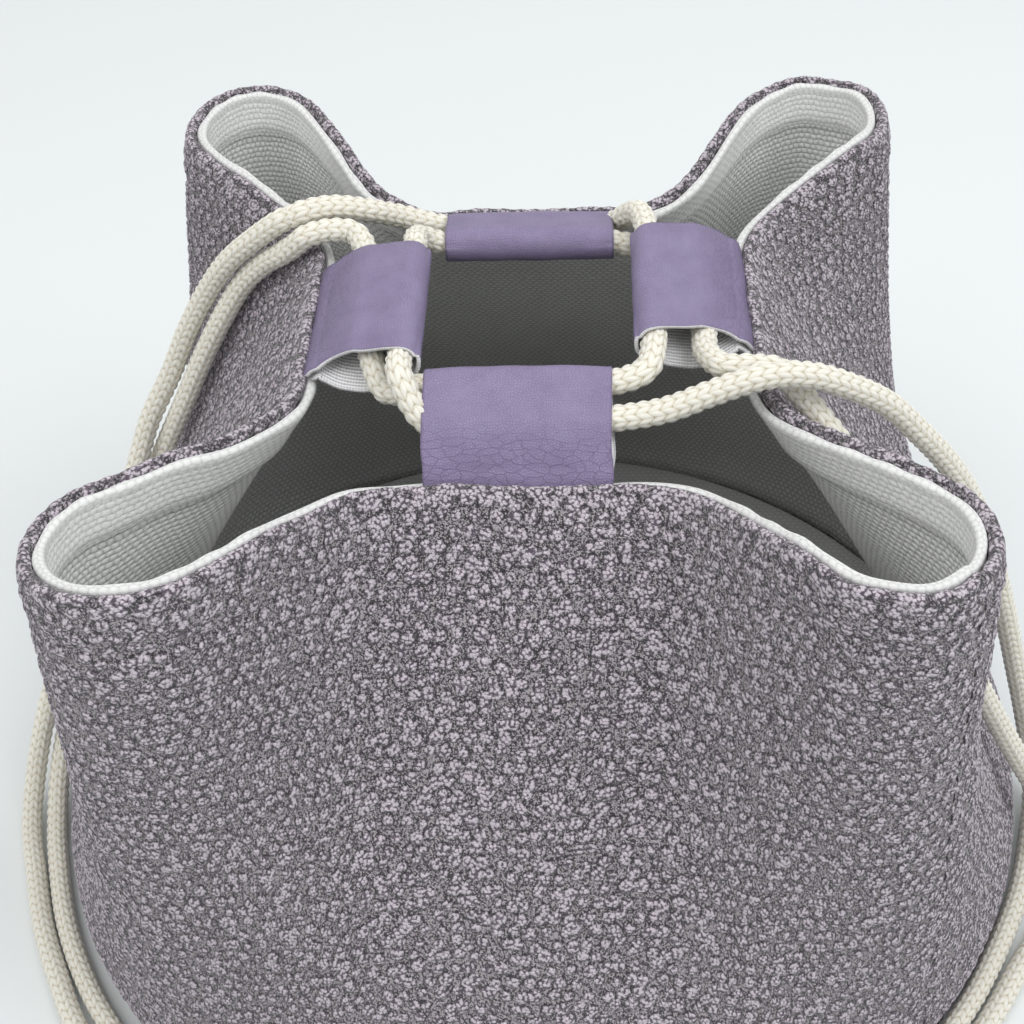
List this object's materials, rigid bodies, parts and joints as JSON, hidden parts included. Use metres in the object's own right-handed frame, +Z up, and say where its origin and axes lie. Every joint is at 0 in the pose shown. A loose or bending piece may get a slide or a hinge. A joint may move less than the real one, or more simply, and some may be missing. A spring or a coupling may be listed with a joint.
{
  "type": "drawstring bag",
  "caption": "Round lined cloth bag whose rim is drawn in by leather loops and two crossing drawcords, leaving open lobes between the loops.",
  "frame": {"origin": "middle of the flat bottom, on the surface that the bag stands on", "axes": "+Z up, -Y towards the front of the bag in the picture, +X to its right"},
  "size_m": [0.3194, 0.3153, 0.1924],
  "materials": {
    "outer_cloth": "nubbed chenille, light lilac grey on a darker purple grey ground",
    "lining_cloth": "coarse light grey canvas",
    "leather": "fine grained purple synthetic leather on a white knit back",
    "cord": "knitted cream cord",
    "board": "plain stiffening board"
  },
  "bodies": {
    "bag_body": {"outer_front_panel": "outer_cloth", "outer_back_panel": "outer_cloth", "lining_front_panel": "lining_cloth", "lining_back_panel": "lining_cloth", "outer_base": "outer_cloth", "base_board": "board", "lining_base": "lining_cloth", "cord_a_tail_from_back": "cord", "cord_a_tail_from_left": "cord", "cord_a_knot": "cord", "cord_b_tail_from_front": "cord", "cord_b_tail_from_right": "cord", "cord_b_knot": "cord"},
    "loop_front": {"loop_front": "leather", "cord_a_in_front_loop": "cord", "cord_b_in_front_loop": "cord"},
    "loop_back": {"loop_back": "leather", "cord_a_in_back_loop": "cord", "cord_b_in_back_loop": "cord"},
    "loop_left": {"loop_left": "leather", "cord_a_in_left_loop": "cord", "cord_b_in_left_loop": "cord", "cord_a_left_loop_over_rim": "cord"},
    "loop_right": {"loop_right": "leather", "cord_a_in_right_loop": "cord", "cord_b_in_right_loop": "cord", "cord_b_right_loop_over_rim": "cord"},
    "corner_front_left": {"cord_a_left_to_front": "cord", "cord_b_left_to_front": "cord"},
    "corner_front_right": {"cord_a_front_to_right": "cord", "cord_b_front_loop_over_rim": "cord"},
    "corner_back_left": {"cord_b_back_to_left": "cord", "cord_a_back_loop_over_rim": "cord"},
    "corner_back_right": {"cord_a_right_to_back": "cord", "cord_b_right_to_back": "cord"}
  },
  "joints": [
    {"name": "open_front", "type": "slide", "parent": "bag_body", "child": "loop_front", "axis": [0, -1, 0], "range_m": [0, 0.09], "deforming": ["outer_front_panel", "lining_front_panel"]},
    {"name": "open_back", "type": "slide", "parent": "bag_body", "child": "loop_back", "axis": [0, 1, 0], "range_m": [0, 0.09], "deforming": ["outer_back_panel", "lining_back_panel"]},
    {"name": "open_left", "type": "slide", "parent": "bag_body", "child": "loop_left", "axis": [-1, 0, 0], "range_m": [0, 0.09], "deforming": ["cord_a_tail_from_back", "cord_a_tail_from_left", "cord_a_left_loop_over_rim"]},
    {"name": "open_right", "type": "slide", "parent": "bag_body", "child": "loop_right", "axis": [1, 0, 0], "range_m": [0, 0.09], "deforming": ["cord_b_tail_from_front", "cord_b_tail_from_right", "cord_b_right_loop_over_rim"]},
    {"name": "spread_front_left", "type": "slide", "parent": "loop_front", "child": "corner_front_left", "axis": [-0.7071, 0.7071, 0], "range_m": [0, 0.12738], "deforming": ["cord_a_left_to_front", "cord_b_left_to_front"]},
    {"name": "spread_front_right", "type": "slide", "parent": "loop_front", "child": "corner_front_right", "axis": [0.7071, 0.7071, 0], "range_m": [0, 0.12738], "deforming": ["cord_a_front_to_right", "cord_b_front_loop_over_rim"]},
    {"name": "spread_back_left", "type": "slide", "parent": "loop_back", "child": "corner_back_left", "axis": [-0.7071, -0.7071, 0], "range_m": [0, 0.12738], "deforming": ["cord_b_back_to_left", "cord_a_back_loop_over_rim"]},
    {"name": "spread_back_right", "type": "slide", "parent": "loop_back", "child": "corner_back_right", "axis": [0.7071, -0.7071, 0], "range_m": [0, 0.12738], "deforming": ["cord_a_right_to_back", "cord_b_right_to_back"]}
  ],
  "couplings": [
    {"joint": "open_back", "follows": "open_front", "ratio": 1},
    {"joint": "open_left", "follows": "open_front", "ratio": 1},
    {"joint": "open_right", "follows": "open_front", "ratio": 1},
    {"joint": "spread_front_left", "follows": "open_front", "ratio": 1.4142},
    {"joint": "spread_front_right", "follows": "open_front", "ratio": 1.4142},
    {"joint": "spread_back_left", "follows": "open_front", "ratio": 1.4142},
    {"joint": "spread_back_right", "follows": "open_front", "ratio": 1.4142}
  ]
}
